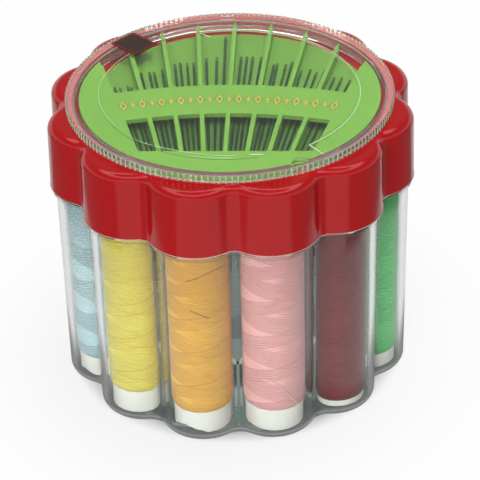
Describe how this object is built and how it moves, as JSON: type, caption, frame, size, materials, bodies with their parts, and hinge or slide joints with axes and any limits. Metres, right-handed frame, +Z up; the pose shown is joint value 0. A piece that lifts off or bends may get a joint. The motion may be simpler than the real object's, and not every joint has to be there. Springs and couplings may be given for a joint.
{
  "type": "sewing thread box",
  "caption": "Clear lobed sewing box: a thread spool stands in every lobe, a red lid lifts off, and a clear dial on top turns over a fanned needle tray.",
  "frame": {"origin": "centre of the jar's flat foot, on the surface that it stands on", "axes": "+Z up along the jar's axis and the lid's travel; -Y is the front, where a valley between two lobes and the lower end of the needle fan face; +X to the right"},
  "size_m": [0.0746, 0.0746, 0.0632],
  "materials": {
    "clear_jar": "clear moulded polystyrene, polished",
    "clear_dial": "clear moulded polystyrene, polished, knurled edge",
    "red_plastic": "glossy red moulded plastic",
    "green_plastic": "satin bright green moulded plastic with a stamped gold ornament",
    "sticker": "dark glossy sticker with a red border, unprinted",
    "needle_steel": "polished steel",
    "white_core": "white moulded plastic, slightly rough",
    "thread_light_blue": "cross-wound sewing thread",
    "thread_yellow": "cross-wound sewing thread",
    "thread_orange": "cross-wound sewing thread",
    "thread_pink": "cross-wound sewing thread",
    "thread_dark_red": "cross-wound sewing thread",
    "thread_green": "cross-wound sewing thread",
    "thread_navy": "cross-wound sewing thread",
    "thread_white": "cross-wound sewing thread",
    "thread_brown": "cross-wound sewing thread",
    "thread_black": "cross-wound sewing thread",
    "thread_grey": "cross-wound sewing thread",
    "thread_purple": "cross-wound sewing thread"
  },
  "bodies": {
    "jar": {"jar": "clear_jar"},
    "lid": {"lid": "red_plastic", "needle_tray": "green_plastic", "needles_channel_1": "needle_steel", "needles_channel_2": "needle_steel", "needles_channel_3": "needle_steel", "needles_channel_4": "needle_steel", "needles_channel_5": "needle_steel", "needles_channel_6": "needle_steel", "needles_channel_7": "needle_steel", "needles_channel_8": "needle_steel"},
    "dial": {"dial_cover": "clear_dial", "seal_sticker": "sticker"},
    "spool_light_blue": {"core_light_blue": "white_core", "thread_light_blue": "thread_light_blue"},
    "spool_yellow": {"core_yellow": "white_core", "thread_yellow": "thread_yellow"},
    "spool_orange": {"core_orange": "white_core", "thread_orange": "thread_orange"},
    "spool_pink": {"core_pink": "white_core", "thread_pink": "thread_pink"},
    "spool_dark_red": {"core_dark_red": "white_core", "thread_dark_red": "thread_dark_red"},
    "spool_green": {"core_green": "white_core", "thread_green": "thread_green"},
    "spool_navy": {"core_navy": "white_core", "thread_navy": "thread_navy"},
    "spool_white": {"core_white": "white_core", "thread_white": "thread_white"},
    "spool_brown": {"core_brown": "white_core", "thread_brown": "thread_brown"},
    "spool_black": {"core_black": "white_core", "thread_black": "thread_black"},
    "spool_grey": {"core_grey": "white_core", "thread_grey": "thread_grey"},
    "spool_purple": {"core_purple": "white_core", "thread_purple": "thread_purple"}
  },
  "joints": [
    {"name": "lid_lift", "type": "slide", "parent": "jar", "child": "lid", "axis": [0, 0, 1], "range_m": [0, 0.07]},
    {"name": "dial_turn", "type": "hinge", "parent": "lid", "child": "dial", "pos_m": [0, 0, 0.062], "axis": [0, 0, 1], "continuous": true},
    {"name": "light_blue_spin", "type": "hinge", "parent": "jar", "child": "spool_light_blue", "pos_m": [-0.02811, -0.00753, 0.028], "axis": [0, 0, 1], "continuous": true},
    {"name": "yellow_spin", "type": "hinge", "parent": "jar", "child": "spool_yellow", "pos_m": [-0.02058, -0.02058, 0.028], "axis": [0, 0, 1], "continuous": true},
    {"name": "orange_spin", "type": "hinge", "parent": "jar", "child": "spool_orange", "pos_m": [-0.00753, -0.02811, 0.028], "axis": [0, 0, 1], "continuous": true},
    {"name": "pink_spin", "type": "hinge", "parent": "jar", "child": "spool_pink", "pos_m": [0.00753, -0.02811, 0.028], "axis": [0, 0, 1], "continuous": true},
    {"name": "dark_red_spin", "type": "hinge", "parent": "jar", "child": "spool_dark_red", "pos_m": [0.02058, -0.02058, 0.028], "axis": [0, 0, 1], "continuous": true},
    {"name": "green_spin", "type": "hinge", "parent": "jar", "child": "spool_green", "pos_m": [0.02811, -0.00753, 0.028], "axis": [0, 0, 1], "continuous": true},
    {"name": "navy_spin", "type": "hinge", "parent": "jar", "child": "spool_navy", "pos_m": [0.02811, 0.00753, 0.028], "axis": [0, 0, 1], "continuous": true},
    {"name": "white_spin", "type": "hinge", "parent": "jar", "child": "spool_white", "pos_m": [0.02058, 0.02058, 0.028], "axis": [0, 0, 1], "continuous": true},
    {"name": "brown_spin", "type": "hinge", "parent": "jar", "child": "spool_brown", "pos_m": [0.00753, 0.02811, 0.028], "axis": [0, 0, 1], "continuous": true},
    {"name": "black_spin", "type": "hinge", "parent": "jar", "child": "spool_black", "pos_m": [-0.00753, 0.02811, 0.028], "axis": [0, 0, 1], "continuous": true},
    {"name": "grey_spin", "type": "hinge", "parent": "jar", "child": "spool_grey", "pos_m": [-0.02058, 0.02058, 0.028], "axis": [0, 0, 1], "continuous": true},
    {"name": "purple_spin", "type": "hinge", "parent": "jar", "child": "spool_purple", "pos_m": [-0.02811, 0.00753, 0.028], "axis": [0, 0, 1], "continuous": true}
  ]
}
